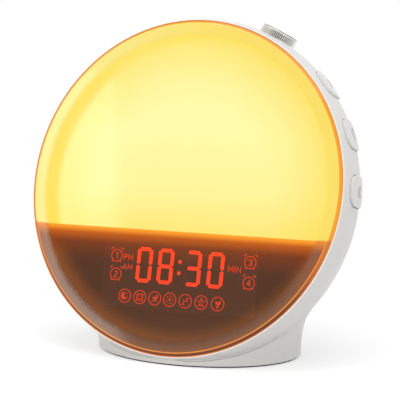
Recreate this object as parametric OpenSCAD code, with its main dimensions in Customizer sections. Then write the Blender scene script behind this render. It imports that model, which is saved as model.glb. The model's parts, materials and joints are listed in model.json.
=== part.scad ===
/* [Body] */
// Largest radius of the round body
body_r = 86.7; // [84:0.1:92]
// Radius of the curved side wall, front to back
bulge_r = 36; // [34:0.5:42]
// Depth behind the front plane at which the body is widest
crest_depth = 12.5; // [11:0.1:13]
// Radius of the curved rear cover, front to back
rear_bulge_r = 48; // [45:0.5:52]
// Depth behind the front plane of the seam between housing and rear cover
seam_depth = 28; // [27:0.1:29]
// Wall thickness of the mouldings
wall = 2.4; // [2:0.1:2.6]
// How far the front face leans back, in degrees
lean = 14; // [12:0.5:16]
// How far the round body would reach below the table if the foot's floor did not cut it off
sink = 1.92; // [1.5:0.02:2.2]
// How far the centre of the front face lies ahead of the foot's centre
face_ahead = 20.65; // [19:0.05:22]

/* [Foot] */
// Half the width of the foot on the table
foot_a = 54.1; // [50:0.1:58]
// Half the depth of the foot on the table
foot_b = 39.1; // [37:0.1:42]
// Half the angle of the body that the foot wraps
foot_wrap = 50; // [45:0.5:54]
// Thickness of the rubber foot pad
pad_t = 0.8; // [0.6:0.1:1.5]
// Thickness of the base plate
base_t = 1.6; // [1.4:0.1:2]

/* [Front] */
// Width of the white edge round the clear front lens
rim_w = 0.46; // [0.4:0.02:1.2]
// Thickness of the lens at its edge
lens_t = 2.2; // [1.8:0.1:2.4]
// Rise of the domed lens at its centre
lens_dome = 4.5; // [3:0.1:6]
// Thickness of the diffuser and of the dark display window
panel_t = 2; // [1.5:0.1:2.2]
// Distance from the face centre down to the edge between diffuser and window
split_drop = 22.1; // [20:0.1:24]

/* [Display] */
// Height of a clock digit
digit_h = 17.8; // [15:0.1:19]
// Width of a clock digit
digit_w = 8.6; // [7:0.1:9]
// Width of a digit's segment
segment_w = 1.9; // [1.5:0.1:2.1]
// Distance from the face centre down to the middle of the digits
digit_drop = 39.7; // [38:0.1:41]

/* [Knob] */
// Radius of the knurled knob
knob_r = 9.5; // [8:0.1:10.5]
// Number of ribs round the knob
knob_ribs = 60; // [40:1:72]
// Angle of the knob round the body, from the right-hand side upward
knob_angle = 65.5; // [62:0.5:68]
// Depth of the knob's axis behind the front plane
knob_depth = 18; // [17:0.1:18.5]
// Height of the knob's top above the widest radius of the body
knob_rise = 3.8; // [3:0.1:5]

/* [Buttons] */
// Length of a button round the body
button_l = 15.2; // [12:0.1:16]
// Width of a button from front to back
button_w = 17.2; // [14:0.1:17.4]
// Corner radius of a button
button_corner = 5.5; // [3:0.1:6.5]
// Depth of the middle of the buttons behind the front plane
button_depth = 14; // [13.8:0.1:14.5]
// How far a button stands proud of the wall
button_rise = 1.1; // [0.7:0.1:1.5]
// Travel of a button when it is pressed
button_travel = 0.6; // [0.4:0.05:0.8]
// Angle between two buttons
button_pitch = 18.6; // [17.5:0.1:19]
// Angle of the lowest button
button_start = 2.2; // [1:0.1:3]

/* [Rear] */
// Radius of the loudspeaker
speaker_r = 20; // [18:0.5:21]
// Height of the loudspeaker's centre above the middle of the back
speaker_up = 17; // [16:0.5:18]
// Diameter of a hole in the loudspeaker grille
grille_hole_d = 2.2; // [1.6:0.1:2.6]
// Width and height of the battery door
door_w = 26; // [25:0.5:27]
// Thickness of the battery door
door_t = 1.6; // [1.2:0.1:1.8]
// Diameter of the backup coin cell
cell_d = 20; // [16:0.1:20]
// Thickness of the backup coin cell
cell_t = 3.2; // [1.6:0.1:3.2]
// Diameter of the round collar of the power inlet
inlet_d = 8; // [7:0.1:9]

/* [Hidden] */
$fn = 144;

// Clearances
slip = 0.15;            // between fixed pieces that drop into each other
run_gap = 0.3;          // between a moving piece and its surroundings
shaft_gap = 0.05;       // radial clearance of the turning shaft in its bush

// Centres of the two arcs of the body's section, as radius and depth
core_r = body_r - bulge_r;
front_r = core_r + sqrt(bulge_r * bulge_r - crest_depth * crest_depth);
seam_tilt = asin((seam_depth - crest_depth) / bulge_r);
seam_r = core_r + bulge_r * cos(seam_tilt);
rear_core_r = seam_r - rear_bulge_r * cos(seam_tilt);
rear_core_depth = seam_depth - rear_bulge_r * sin(seam_tilt);
back_depth = rear_core_depth + rear_bulge_r;
cover_in = back_depth - wall;    // inner face of the rear cover's flat middle

// Height of the centre of the front face above the table
face_height = core_r * cos(lean) + crest_depth * sin(lean) + bulge_r - sink;

// Depths of the stack behind the front plane
gasket_t = 0.4;
seat_depth = lens_t + gasket_t;
ledge_t = 2.4;
panel_depth = seat_depth + ledge_t;
panel_back = panel_depth + panel_t;
tray_past_seam = 2;
tray_back = seam_depth + tray_past_seam;
board_t = 1.6;
tray_wall = 1.6;
chassis_t = 2;
chassis_back = tray_back + chassis_t;
standoff_h = 4;
main_depth = chassis_back + standoff_h;
main_back = main_depth + board_t;

// Radii in the front opening
ledge_w = 3;
cap_in = 1.5;            // how far a side button reaches inside the wall
cap_bottom_r = body_r - wall - cap_in;
lens_r = front_r - rim_w;
lens_hole_r = lens_r + slip;
ledge_r = lens_r - ledge_w;
panel_r = cap_bottom_r - button_travel - run_gap;    // clear of a pressed button

// Places of the posts and screws
rear_post_angles = [52, 128, 232, 308];
rear_post_inset = 1.8;   // from the wall's inner face at the seam
rear_post_r = seam_r - wall - rear_post_inset;
post_r = 3.6;
post_end = 0.5;          // the posts end this far ahead of the seam
post_start = 3;          // and start this far behind the panels
chassis_post_angles = [90, 200, 340];
chassis_post_inset = 7;  // from the circle of the rear posts
chassis_post_r = rear_post_r - chassis_post_inset;
chassis_r = chassis_post_r - 2;
screw_r = 1.5;
screw_head_r = 2.8;
screw_head_h = 1.8;

// Edges of the main board
main_w = 76;
main_top = -8;
main_bottom = -52;

// ---------- frames ----------

// Frame of the front face: X right, Y up the face, Z out of the front
module face_frame() {
    translate([0, -face_ahead, face_height]) rotate([90 - lean, 0, 0]) children();
}

// An outline of the face, as a plate between two depths
module slab(from, to) {
    translate([0, 0, -to]) linear_extrude(to - from) children();
}

// Frame on the body's axis at one depth and angle: X to the rear, Y round the body, Z outward
module radial(angle, depth) {
    translate([0, 0, -depth]) rotate([0, 0, angle]) rotate([0, 90, 0]) children();
}

// ---------- shared outlines ----------

module rounded_box(w, h, r) {
    square([w - 2 * r, h], center = true);
    square([w, h - 2 * r], center = true);
    for (x = [-1, 1], y = [-1, 1])
        translate([x * (w / 2 - r), y * (h / 2 - r)]) circle(r);
}

module ring(outer, inner) {
    difference() {
        circle(outer);
        circle(inner);
    }
}

// Half of the face outline, above or below the edge between diffuser and window
module face_part(r, above, gap) {
    intersection() {
        circle(r);
        if (above)
            translate([-r, gap - split_drop]) square([2 * r, 2 * r]);
        else
            translate([-r, -gap - split_drop - 2 * r]) square([2 * r, 2 * r]);
    }
}

// Section of the front part of the body, grown or shrunk, as radius and minus depth
module front_arc(inset) {
    translate([core_r, -crest_depth]) circle(bulge_r - inset);
}

module rear_arc(inset) {
    translate([rear_core_r, -rear_core_depth]) circle(rear_bulge_r - inset);
}

module depth_band(from, to, r_from, r_to) {
    translate([r_from, -to]) square([r_to - r_from, to - from]);
}

// Removes what the body's shells would have below the floor of the foot
floor_gap = 1.2;
foot_floor = pad_t + base_t + floor_gap;
space = 3 * body_r;      // wider and higher than the whole clock
module above_floor() {
    intersection() {
        children();
        translate([-space / 2, -space / 2, foot_floor]) cube(space);
    }
}

// ---------- foot ----------

strips = 96;
levels = 8;
ledge_in = 6;
foot_gap = 0.2;
turns = [for (i = [0 : strips - 1]) let (u = 360 * i / strips) u - 24 * sin(2 * u)];

function arc_r(s) = s < seam_depth
    ? core_r + sqrt(bulge_r * bulge_r - pow(s - crest_depth, 2))
    : rear_core_r + sqrt(rear_bulge_r * rear_bulge_r - pow(s - rear_core_depth, 2));

// A point of the body's frame in the part's own frame
function from_face(x, y, s) = [
    x,
    -face_ahead + s * cos(lean) + y * sin(lean),
    face_height - s * sin(lean) + y * cos(lean)
];

// A point on the body's surface, lifted off it by gap
function on_body(angle, s, gap) = let (
    rear = s >= seam_depth,
    cr = rear ? rear_core_r : core_r,
    cs = rear ? rear_core_depth : crest_depth,
    k = (rear ? rear_bulge_r : bulge_r),
    r = arc_r(s) + gap * (arc_r(s) - cr) / k,
    d = s + gap * (s - cs) / k
) from_face(r * cos(angle), r * sin(angle), d);

// The line where the foot meets the body: t runs from the front, 0, to the back, 180
rim_front = 0.8;
rim_back = 0.6;
function rim_depth(t, in) = let (from = rim_front + in, to = back_depth - rim_back - in)
    from + (to - from) * (1 - cos(t)) / 2;
function rim_angle(t, in) = (foot_wrap - in / body_r * 180 / PI) * pow(abs(sin(t)), 0.45);
function rim_point(t, in) = t <= 180
    ? on_body(-90 + rim_angle(t, in), rim_depth(t, in), foot_gap)
    : on_body(-90 - rim_angle(360 - t, in), rim_depth(360 - t, in), foot_gap);

// The foot's edge on the table plane, with the same t
function edge_point(t, in, z) = [(foot_a - in) * sin(t), -(foot_b - in) * cos(t), z];

// From the edge straight up, then curving out or in to the rim
function bend(p, q, k) = let (c = [p.x, p.y, (p.z + q.z) / 2])
    (1 - k) * (1 - k) * p + 2 * k * (1 - k) * c + k * k * q;

// A point's radius, height up the face and depth, about the axis of the body
function about_axis(p) = let (
    dy = p.y + face_ahead,
    dz = p.z - face_height,
    y = dy * sin(lean) + dz * cos(lean)
) [norm([p.x, y]), y, dy * cos(lean) - dz * sin(lean)];

// Centre, as radius and depth, and radius of the arc of the body's section at one depth
function arc_at(s) = s < seam_depth
    ? [core_r, crest_depth, bulge_r]
    : [rear_core_r, rear_core_depth, rear_bulge_r];

// Whether a point lies in the round body, which stops above the foot's floor
function in_body(p) = let (q = about_axis(p), c = arc_at(q.z))
    q.z > 0 && p.z > foot_floor - foot_gap && norm([q.x - c.x, q.z - c.y]) < c.z + foot_gap - 0.01;

// A point moved straight out of the body, to lie off its surface by the foot's gap
function off_body(p) = let (
    q = about_axis(p),
    c = arc_at(q.z),
    k = (c.z + foot_gap) / norm([q.x - c.x, q.z - c.y]),
    r = c.x + k * (q.x - c.x)
) k <= 1 || p.z < foot_floor ? p : from_face(p.x * r / q.x, q.y * r / q.x, c.y + k * (q.z - c.y));

// How much of the way from p to q the bend runs before it meets the body
function reach(p, q, k = 0, step = 1 / 32) =
    k >= 1 ? 1
    : !in_body(bend(p, q, k + step)) ? reach(p, q, k + step, step)
    : step < 0.001 ? k
    : reach(p, q, k, step / 2);

function climb(p, q, first, last) = let (top = reach(p, q))
    [for (i = [first : sign(last - first) : last]) bend(p, q, top * i / levels)];

function foot_row(t) = let (
    outside = climb(edge_point(t, 0, pad_t), rim_point(t, 0), 0, levels),
    inside = climb(edge_point(t, wall, pad_t + base_t), rim_point(t, wall), levels, 2)
) concat(
    outside,
    [off_body((outside[levels] + inside[0]) / 2)],
    inside,
    [edge_point(t, ledge_in, foot_floor - foot_gap), edge_point(t, ledge_in, pad_t + base_t),
     edge_point(t, wall, pad_t + base_t), edge_point(t, wall, pad_t)]
);

module foot() {
    color("whitesmoke") {
        rows = [for (t = turns) foot_row(t)];
        n = len(rows[0]);
        polyhedron(
            points = [for (row = rows) each row],
            faces = [for (i = [0 : strips - 1], j = [0 : n - 1])
                let (a = i * n, b = ((i + 1) % strips) * n, k = (j + 1) % n)
                each [[a + j, a + k, b + k], [a + j, b + k, b + j]]]
        );
    }
}

module foot_outline(in) {
    polygon([for (t = turns) let (p = edge_point(t, in, 0)) [p.x, p.y]]);
}

base_screw_x = 22;
base_screw_y = -20;
base_head_h = 1;
base_screw_l = 8;
pad_margin = 0.9;        // from the foot's edge to the pad's
pad_w = 8.1;

module base_plate() {
    color("gainsboro") difference() {
        translate([0, 0, pad_t]) linear_extrude(base_t) foot_outline(wall + slip);
        for (x = [-base_screw_x, base_screw_x]) translate([x, base_screw_y, 0]) {
            cylinder(r = screw_r + slip, h = foot_floor + base_screw_l);
            cylinder(r = screw_head_r + slip, h = pad_t + base_head_h);
        }
    }
}

module foot_pad() {
    color([0.16, 0.16, 0.17]) linear_extrude(pad_t) difference() {
        foot_outline(pad_margin);
        foot_outline(pad_margin + pad_w);
    }
}

// ---------- housing ----------

module knob_frame() {
    radial(knob_angle, knob_depth) children();
}

well_depth = 1.6;        // of the round well that the knob stands in
well_floor_r = body_r - well_depth;
encoder_drop = 10.7;
encoder_top_r = body_r - encoder_drop;
bush_r = 3.4;
cut_in = 6.3;            // cutters start this far inside the wall
cut_out = 20;            // and are this long

module button_hole(angle) {
    radial(angle, button_depth) translate([0, 0, body_r - wall - cut_in])
        linear_extrude(cut_out)
            rounded_box(button_w + 2 * run_gap, button_l + 2 * run_gap, button_corner + run_gap);
}

button_angles = [for (i = [0 : 2]) button_start + i * button_pitch];

// Bosses inside the round wall that stand on the base plate
module base_bosses(r, h) {
    for (x = [-base_screw_x, base_screw_x])
        translate([x, base_screw_y, pad_t + base_t]) cylinder(r = r, h = h);
}

base_boss_r = 4;
base_boss_h = 9;

module front_housing() {
    color("white") difference() {
        union() {
            housing_shell();
            base_bosses(base_boss_r, base_boss_h);
        }
        base_bosses(screw_r + slip, base_boss_h - screw_r);
    }
}

chassis_post_h = 12;
web_t = 2;
bush_boss_r = 6;
well_gap = 0.4;
rear_screw_l = 10;
chassis_screw_l = 8;

module housing_shell() {
    above_floor() face_frame() difference() {
        union() {
            rotate_extrude() difference() {
                intersection() {
                    front_arc(0);
                    depth_band(0, seam_depth, 60, 100);
                }
                intersection() {
                    front_arc(wall);
                    depth_band(panel_depth, seam_depth, 40, 100);
                }
                depth_band(-1, seat_depth, 0, lens_hole_r);
                depth_band(0, panel_depth, 0, ledge_r);
            }
            // posts for the rear cover's screws
            for (a = rear_post_angles)
                rotate([0, 0, a]) translate([rear_post_r, 0, post_end - seam_depth])
                    cylinder(r = post_r, h = seam_depth - panel_back - post_start - post_end);
            // posts for the chassis, each on a web from the wall
            for (a = chassis_post_angles) {
                rotate([0, 0, a]) translate([chassis_post_r, 0, -tray_back])
                    cylinder(r = post_r, h = chassis_post_h);
                rotate([0, 0, a]) translate([chassis_post_r, -web_t / 2, -seam_depth + 1])
                    cube([seam_r - wall / 2 - chassis_post_r, web_t, chassis_post_h - 3]);
            }
            // boss round the encoder's bush
            knob_frame() translate([0, 0, encoder_top_r])
                cylinder(r = bush_boss_r, h = well_floor_r - encoder_top_r);
        }
        for (a = rear_post_angles)
            rotate([0, 0, a]) translate([rear_post_r, 0, -seam_depth - 1])
                cylinder(r = screw_r + slip, h = rear_screw_l + 4);
        for (a = chassis_post_angles)
            rotate([0, 0, a]) translate([chassis_post_r, 0, -tray_back - 1])
                cylinder(r = screw_r + slip, h = chassis_screw_l + 3);
        knob_frame() {
            translate([0, 0, encoder_top_r - 1]) cylinder(r = bush_r + slip, h = cut_out);
            translate([0, 0, well_floor_r]) cylinder(r = knob_r + well_gap, h = cut_out);
        }
        for (a = button_angles) {
            button_hole(a);
            button_hole(180 - a);
        }
    }
}

// ---------- rear cover ----------

inlet_inset = 11;        // from the edge of the cover's flat middle
inlet_x = inlet_inset - rear_core_r;
inlet_over_board = 3.6;  // from the main board's upper edge to the middle of the inlet
inlet_y = main_top + inlet_over_board;
grommet_x = -inlet_x;
grommet_y = inlet_y;
grommet_r = 3;
door_y = -24;
cell_wall = 1.2;
cell_floor_depth = back_depth - door_t - cell_t - 1.6;
cell_x = -1.5;
battery_screw_y = door_y - door_w / 2 + 3.2;
boss_floor = 1.8;
seat_rise = 1.5;         // of the ring round the loudspeaker

function grille_ring(n) = n == 0 ? [[0, 0]] : [for (i = [0 : 6 * n - 1]) [n, i * 60 / n]];
grille_pitch = (speaker_r - 4) / 4;
grille = [for (n = [0 : 4]) each grille_ring(n)];

module door_outline(grow) {
    translate([0, door_y]) rounded_box(door_w + 2 * grow, door_w + 2 * grow, 3 + grow);
}

module rear_cover() {
    color("white") above_floor() face_frame() difference() {
        union() {
            rotate_extrude() difference() {
                intersection() {
                    union() {
                        rear_arc(0);
                        depth_band(seam_depth, back_depth, 0, rear_core_r);
                    }
                    depth_band(seam_depth, back_depth, 0, 100);
                }
                intersection() {
                    union() {
                        rear_arc(wall);
                        depth_band(seam_depth - 1, back_depth - wall, 0, rear_core_r);
                    }
                    depth_band(seam_depth - 1, back_depth - wall, 0, 100);
                }
            }
            // lip that registers inside the housing, and makes way for its posts
            difference() {
                rotate_extrude()
                    depth_band(seam_depth - 2, seam_depth + 2, seam_r - 2 * wall - 0.6, seam_r - wall - 0.5);
                for (a = concat(rear_post_angles, chassis_post_angles))
                    rotate([0, 0, a]) translate([rear_post_r - 1.5, 0, -seam_depth - 5])
                        cylinder(r = post_r + 3, h = 10);
            }
            // screw bosses, kept inside the dome
            intersection() {
                rotate_extrude() intersection() {
                    rear_arc(0.4);
                    depth_band(seam_depth + 0.4, back_depth, 60, 100);
                }
                for (a = rear_post_angles)
                    rotate([0, 0, a]) translate([rear_post_r, 0, -back_depth])
                        cylinder(r = screw_head_r + 2, h = back_depth - seam_depth);
            }
            // battery compartment
            slab(cell_floor_depth - cell_wall, back_depth) door_outline(cell_wall);
            // boss of the loudspeaker's seat
            translate([0, speaker_up, 0]) slab(cover_in - seat_rise, back_depth - 1) circle(speaker_r + 2);
        }
        translate([0, speaker_up, 0]) slab(cover_in - 2 * seat_rise, cover_in) circle(speaker_r + slip);
        // grille
        for (g = grille)
            translate([0, speaker_up, -back_depth - 1]) rotate([0, 0, g[1]])
                translate([g[0] * grille_pitch, 0, 0]) cylinder(d = grille_hole_d, h = wall + 2);
        // recess for the door, and the coin cell's pocket
        slab(back_depth - door_t, back_depth + 1) door_outline(slip);
        translate([cell_x, door_y + 1, 0]) slab(cell_floor_depth, back_depth) circle(cell_d / 2 + 0.4);
        translate([0, battery_screw_y, -back_depth]) cylinder(r = 0.9, h = 6);
        // power inlet and aerial hole
        translate([inlet_x, inlet_y, -back_depth - 1]) cylinder(d = inlet_d + 2 * slip, h = wall + 2);
        translate([grommet_x, grommet_y, -back_depth - 1]) cylinder(r = grommet_r, h = wall + 2);
        // screw holes
        for (a = rear_post_angles)
            rotate([0, 0, a]) translate([rear_post_r, 0, 0]) {
                translate([0, 0, -seam_depth - 30]) cylinder(r = screw_r + slip, h = 40);
                translate([0, 0, -seam_depth - boss_floor - 30]) cylinder(r = screw_head_r + 0.3, h = 30);
            }
    }
}

// A screw with a crossed recess in its head, which stands on Z = 0
module screw_cross(length, head_h = screw_head_h) {
    difference() {
        union() {
            cylinder(r = screw_head_r, h = head_h);
            translate([0, 0, -length]) cylinder(r = screw_r, h = length);
        }
        for (a = [0, 90])
            rotate([0, 0, a]) translate([-1.6, -0.35, head_h / 2]) cube([3.2, 0.7, 2]);
    }
}

module rear_screws() {
    color("silver") face_frame()
        for (a = rear_post_angles)
            rotate([0, 0, a]) translate([rear_post_r, 0, -seam_depth - boss_floor]) rotate([180, 0, 0])
                screw_cross(rear_screw_l);
}

module base_screws() {
    color("silver")
        for (x = [-base_screw_x, base_screw_x])
            translate([x, base_screw_y, pad_t + base_head_h]) rotate([180, 0, 0])
                screw_cross(base_screw_l, base_head_h);
}

// ---------- front optics ----------

lens_lip = 0.4;
dome_inset = 2;           // the dome starts its rise this far inside the lens's edge
lens_edge = 0.5;          // depth at which the bevel meets the lens's edge
lens_land = 2.5;          // width of the flat ring that seats on the gasket
gasket_w = 1.5;
bevel_top = lens_dome + 1.5;
dome_sides = 1080;        // the dome is a small part of a very large circle

module front_lens() {
    flat_r = lens_r - dome_inset;
    dome_r = (flat_r * flat_r + lens_dome * lens_dome) / (2 * lens_dome);
    dome_y = lens_dome + lens_lip - dome_r;
    color("gold", 0.4) face_frame() rotate_extrude() difference() {
        intersection() {
            translate([0, dome_y]) circle(dome_r, $fn = dome_sides);
            polygon([
                [0, -lens_t], [0, bevel_top], [lens_r - 2 * bevel_top - 1, bevel_top],
                [lens_r, -lens_edge], [lens_r, -lens_t]
            ]);
        }
        intersection() {
            translate([0, dome_y]) circle(dome_r - lens_t, $fn = dome_sides);
            depth_band(-bevel_top, lens_t + 1, 0, lens_r - lens_land);
        }
    }
}

module lens_gasket() {
    outer = lens_r - 2 * slip;
    color("khaki") face_frame() slab(lens_t, seat_depth) ring(outer, outer - gasket_w);
}

module light_diffuser() {
    color("khaki") face_frame() slab(panel_depth, panel_back) face_part(panel_r, true, 0.05);
}

module display_window() {
    color([0.3, 0.18, 0.12]) face_frame() slab(panel_depth, panel_back) face_part(panel_r, false, 0.05);
}

// ---------- light chamber ----------

tray_flange_w = 5;
tray_slope_w = 15;
tray_slope_t = 6;
tray_taper = 4;
tray_mouth_r = panel_r - tray_flange_w;
tray_neck_r = tray_mouth_r - tray_slope_w;
tray_neck_depth = panel_back + tray_slope_t;
tray_back_r = tray_neck_r - tray_taper;

module tray_form(in) {
    rotate_extrude() polygon([
        [0, -panel_back],
        [tray_mouth_r - in, -panel_back],
        [tray_neck_r - in, -tray_neck_depth],
        [tray_back_r - in, -tray_back + in],
        [0, -tray_back + in]
    ]);
}

module light_tray() {
    color("white") face_frame() difference() {
        union() {
            intersection() {
                tray_form(0);
                slab(panel_back, tray_back) face_part(panel_r, true, 0.05);
            }
            slab(panel_back, panel_back + tray_wall) face_part(panel_r - slip, true, 0.05);
        }
        intersection() {
            tray_form(tray_wall);
            slab(panel_back - 1, tray_back - tray_wall) face_part(panel_r, true, tray_wall);
        }
    }
}

light_board_depth = tray_back - tray_wall - board_t;
light_board_r = tray_back_r - tray_wall - 0.5;

module light_board() {
    color("white") face_frame() slab(light_board_depth, light_board_depth + board_t)
        face_part(light_board_r, true, tray_wall + slip);
}

led_rows = 4;
led_pitch = light_board_r / 4;
led_row_pitch = 1.2 * led_pitch;
led_start = -led_pitch;
warm_led = [3.5, 2.8, 1];
color_led = [5, 5, 1.4];

// A light-emitting diode of the given size, centred on a point of the light board
module led(size, x, y) {
    translate([x - size.x / 2, y - size.y / 2, -light_board_depth]) cube(size);
}

module warm_leds() {
    color("lemonchiffon") face_frame()
        for (row = [0 : led_rows - 1], i = [-3 + floor(row / 2) : 3 - floor(row / 2)])
            led(warm_led, i * led_pitch, led_start + row * led_row_pitch);
}

module color_leds() {
    color("lightcyan") face_frame()
        for (row = [0 : led_rows - 2], i = [-2 : 2])
            if ((i + row) % 2 == 0)
                led(color_led, (i + 0.5) * led_pitch, led_start + (row + 0.5) * led_row_pitch);
}

// ---------- display ----------

case_under_split = 7.5;
case_over_rim = 19.8;    // from the window's lowest point up to the case
case_corner_gap = 6.9;   // from the case's lower corners to the window's rim
case_h = 8;
case_behind = 0.6;       // from the window to the case
case_top = split_drop + case_under_split;
case_bottom = panel_r - case_over_rim;
case_w = 2 * sqrt(pow(panel_r - case_corner_gap, 2) - case_bottom * case_bottom);
case_front = panel_back + case_behind;
case_back = case_front + case_h;
segment_h = 0.4;
colon_r = 1.1;
colon_pitch = 5.6;
colon_x = 0.2;

module case_outline(grow) {
    translate([-case_w / 2 - grow, -case_bottom - grow])
        square([case_w + 2 * grow, case_bottom - case_top + 2 * grow]);
}

module display_shroud() {
    color([0.1, 0.09, 0.09]) face_frame() slab(panel_back, panel_back + tray_wall) difference() {
        face_part(panel_r - slip, false, 0.35);
        case_outline(slip);
    }
}

module led_display() {
    color([0.13, 0.11, 0.11]) face_frame() slab(case_front, case_back) case_outline(0);
}

// One segment of a digit, lying along X
module segment(length) {
    polygon([
        [-length / 2, 0], [-length / 2 + segment_w / 2, segment_w / 2],
        [length / 2 - segment_w / 2, segment_w / 2], [length / 2, 0],
        [length / 2 - segment_w / 2, -segment_w / 2], [-length / 2 + segment_w / 2, -segment_w / 2]
    ]);
}

digit_x = [-19.3, -7.5, 7.7, 19.9];
segment_gap = 0.35;

module digit() {
    across = digit_w - segment_w - segment_gap;
    half = (digit_h - segment_w) / 2;
    for (y = [-half, 0, half]) translate([0, y]) segment(across);
    for (x = [-1, 1], y = [-1, 1])
        translate([x * (digit_w - segment_w) / 2, y * half / 2]) rotate(90) segment(half - segment_gap);
}

module display_segments() {
    color("orangered") face_frame() slab(case_front - segment_h, case_front) {
        for (x = digit_x) translate([x, -digit_drop]) digit();
        for (side = [-0.5, 0.5]) translate([colon_x, side * colon_pitch - digit_drop]) circle(colon_r);
    }
}

board_margin = 2;
board_side = 5;
display_board_w = case_w + 2 * board_side;
display_board_top = case_top - board_margin;
display_board_bottom = case_bottom + board_margin;
display_post_x = case_w / 2 + 2.2;
display_post_y = [display_board_top + 4, display_board_bottom - 12];
pilot_r = 0.8;           // hole for a small screw

module display_board() {
    color("darkgreen") face_frame() slab(case_back, case_back + board_t) difference() {
        intersection() {
            translate([-display_board_w / 2, -display_board_bottom])
                square([display_board_w, display_board_bottom - display_board_top]);
            circle(chassis_r - 0.5);
        }
        for (x = [-1, 1], y = display_post_y)
            translate([x * display_post_x, -y]) circle(pilot_r);
    }
}

module display_screws() {
    color("silver") face_frame()
        for (x = [-1, 1], y = display_post_y)
            translate([x * display_post_x, -y, -case_back]) small_screw(display_screw_l);
}

display_screw_l = 6;
board_screw_l = 4;
small_head_r = 1.9;
small_head_h = 1.2;
small_shank_r = pilot_r - 0.1;

module small_screw(length) {
    cylinder(r = small_head_r, h = small_head_h);
    translate([0, 0, -length]) cylinder(r = small_shank_r, h = length);
}

// ---------- chassis and main board ----------

main_post_inset = 4;
main_post_x = main_w / 2 - main_post_inset;
main_post_y = [main_top - main_post_inset, main_bottom + main_post_inset];
board_post_r = 2.5;
middle_hole_r = 22;
middle_hole_y = 30;
side_hole_r = 13;
side_hole_x = 42;
side_hole_y = 22;
lead_slot = [50, 18];
lead_slot_y = -30;

module chassis() {
    color([0.25, 0.25, 0.27]) above_floor() face_frame() difference() {
        union() {
            slab(tray_back, chassis_back) {
                circle(chassis_r);
                for (a = chassis_post_angles) {
                    rotate(a) translate([chassis_post_r, 0]) circle(post_r + 0.6);
                    rotate(a) translate([chassis_post_r - 8, -post_r - 0.6]) square([8, 2 * post_r + 1.2]);
                }
            }
            // posts for the display board
            for (x = [-1, 1], y = display_post_y)
                translate([x * display_post_x, -y, -tray_back])
                    cylinder(r = board_post_r, h = tray_back - case_back - board_t);
            // posts for the main board
            for (x = [-1, 1], y = main_post_y)
                translate([x * main_post_x, y, -main_depth]) cylinder(r = board_post_r, h = standoff_h);
        }
        // openings that save weight and let the leads through
        slab(tray_back - 1, chassis_back + 1) {
            translate([0, middle_hole_y]) circle(middle_hole_r);
            for (x = [-1, 1]) translate([x * side_hole_x, side_hole_y]) circle(side_hole_r);
            translate([0, lead_slot_y]) square(lead_slot, center = true);
        }
        for (a = chassis_post_angles)
            rotate([0, 0, a]) translate([chassis_post_r, 0, -chassis_back - 1])
                cylinder(r = screw_r + slip, h = chassis_t + 2);
        for (x = [-1, 1], y = display_post_y)
            translate([x * display_post_x, -y, -tray_back + 4]) cylinder(r = pilot_r, h = cut_out);
        for (x = [-1, 1], y = main_post_y)
            translate([x * main_post_x, y, -main_depth - 1]) cylinder(r = pilot_r, h = standoff_h + 2);
    }
}

module chassis_screws() {
    color("silver") face_frame()
        for (a = chassis_post_angles)
            rotate([0, 0, a]) translate([chassis_post_r, 0, -chassis_back]) rotate([180, 0, 0])
                screw_cross(chassis_screw_l);
}

module main_board() {
    color("darkgreen") face_frame() slab(main_depth, main_back) difference() {
        translate([-main_w / 2, main_bottom]) square([main_w, main_top - main_bottom]);
        for (x = [-1, 1], y = main_post_y) translate([x * main_post_x, y]) circle(pilot_r);
    }
}

module main_board_screws() {
    color("silver") face_frame()
        for (x = [-1, 1], y = main_post_y)
            translate([x * main_post_x, y, -main_back]) rotate([180, 0, 0]) small_screw(board_screw_l);
}

// A box standing on the back of the main board, centred on a point
module on_board(at, size) {
    translate([at.x - size.x / 2, at.y - size.y / 2, -main_back - size.z]) cube(size);
}

chip_places = [[-6, -24], [12, -20], [-22, -36], [14, -36]];
chip_sizes = [[10, 10, 1.4], [6, 8, 1.4], [5, 6, 1.4], [8, 5, 1.4]];

module main_board_chips() {
    color([0.12, 0.12, 0.13]) face_frame()
        for (i = [0 : len(chip_places) - 1]) on_board(chip_places[i], chip_sizes[i]);
}

radio_at = [26, -26];
radio_size = [14, 12, 2.6];

module radio_module() {
    color("silver") face_frame() on_board(radio_at, radio_size);
}

capacitor_places = [[-30, -24], [-30, -32], [28, -39.5]];
capacitor_radii = [3.1, 3.1, 2.5];
capacitor_h = 7;

module capacitors() {
    color([0.15, 0.2, 0.35]) face_frame()
        for (i = [0 : len(capacitor_places) - 1])
            translate([capacitor_places[i].x, capacitor_places[i].y, -main_back - capacitor_h])
                cylinder(r = capacitor_radii[i], h = capacitor_h);
}

connector_size = [9, 5, 6];
connector_places = [[-20, -48.5], [-6, -48.5], [8, -48.5], [22, -48.5], [0, -12]];

module board_connectors() {
    color("ivory") face_frame()
        for (p = connector_places) on_board(p, connector_size);
}

// ---------- loudspeaker ----------

speaker_pad_t = 0.5;     // foam ring between the cover and the basket
speaker_rim_t = 0.8;
speaker_rim_w = 2.5;
basket_h = 8;
basket_t = 1;
magnet_r = 11;
magnet_h = 5;
coil_r = 6;
cone_t = 0.4;
cone_h = 4.2;
cone_r = speaker_r - speaker_rim_w;

module at_speaker() {
    face_frame() translate([0, speaker_up, 0]) children();
}

// Profile of the basket: radius, and height in front of the cover's inner face
module speaker_frame() {
    rim_top = speaker_pad_t + speaker_rim_t;
    color([0.2, 0.2, 0.2]) at_speaker() translate([0, 0, -cover_in]) rotate_extrude() polygon([
        [speaker_r, speaker_pad_t], [speaker_r, rim_top],
        [cone_r + 0.1, rim_top], [magnet_r - 1, basket_h], [coil_r + 1, basket_h],
        [coil_r + 1, basket_h - basket_t], [magnet_r - 1.4, basket_h - basket_t],
        [cone_r - 0.9, speaker_pad_t * 2], [cone_r, speaker_pad_t * 2], [cone_r, speaker_pad_t]
    ]);
}

module speaker_magnet() {
    color("dimgray") at_speaker()
        slab(cover_in - basket_h - magnet_h, cover_in - basket_h) circle(magnet_r);
}

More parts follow.
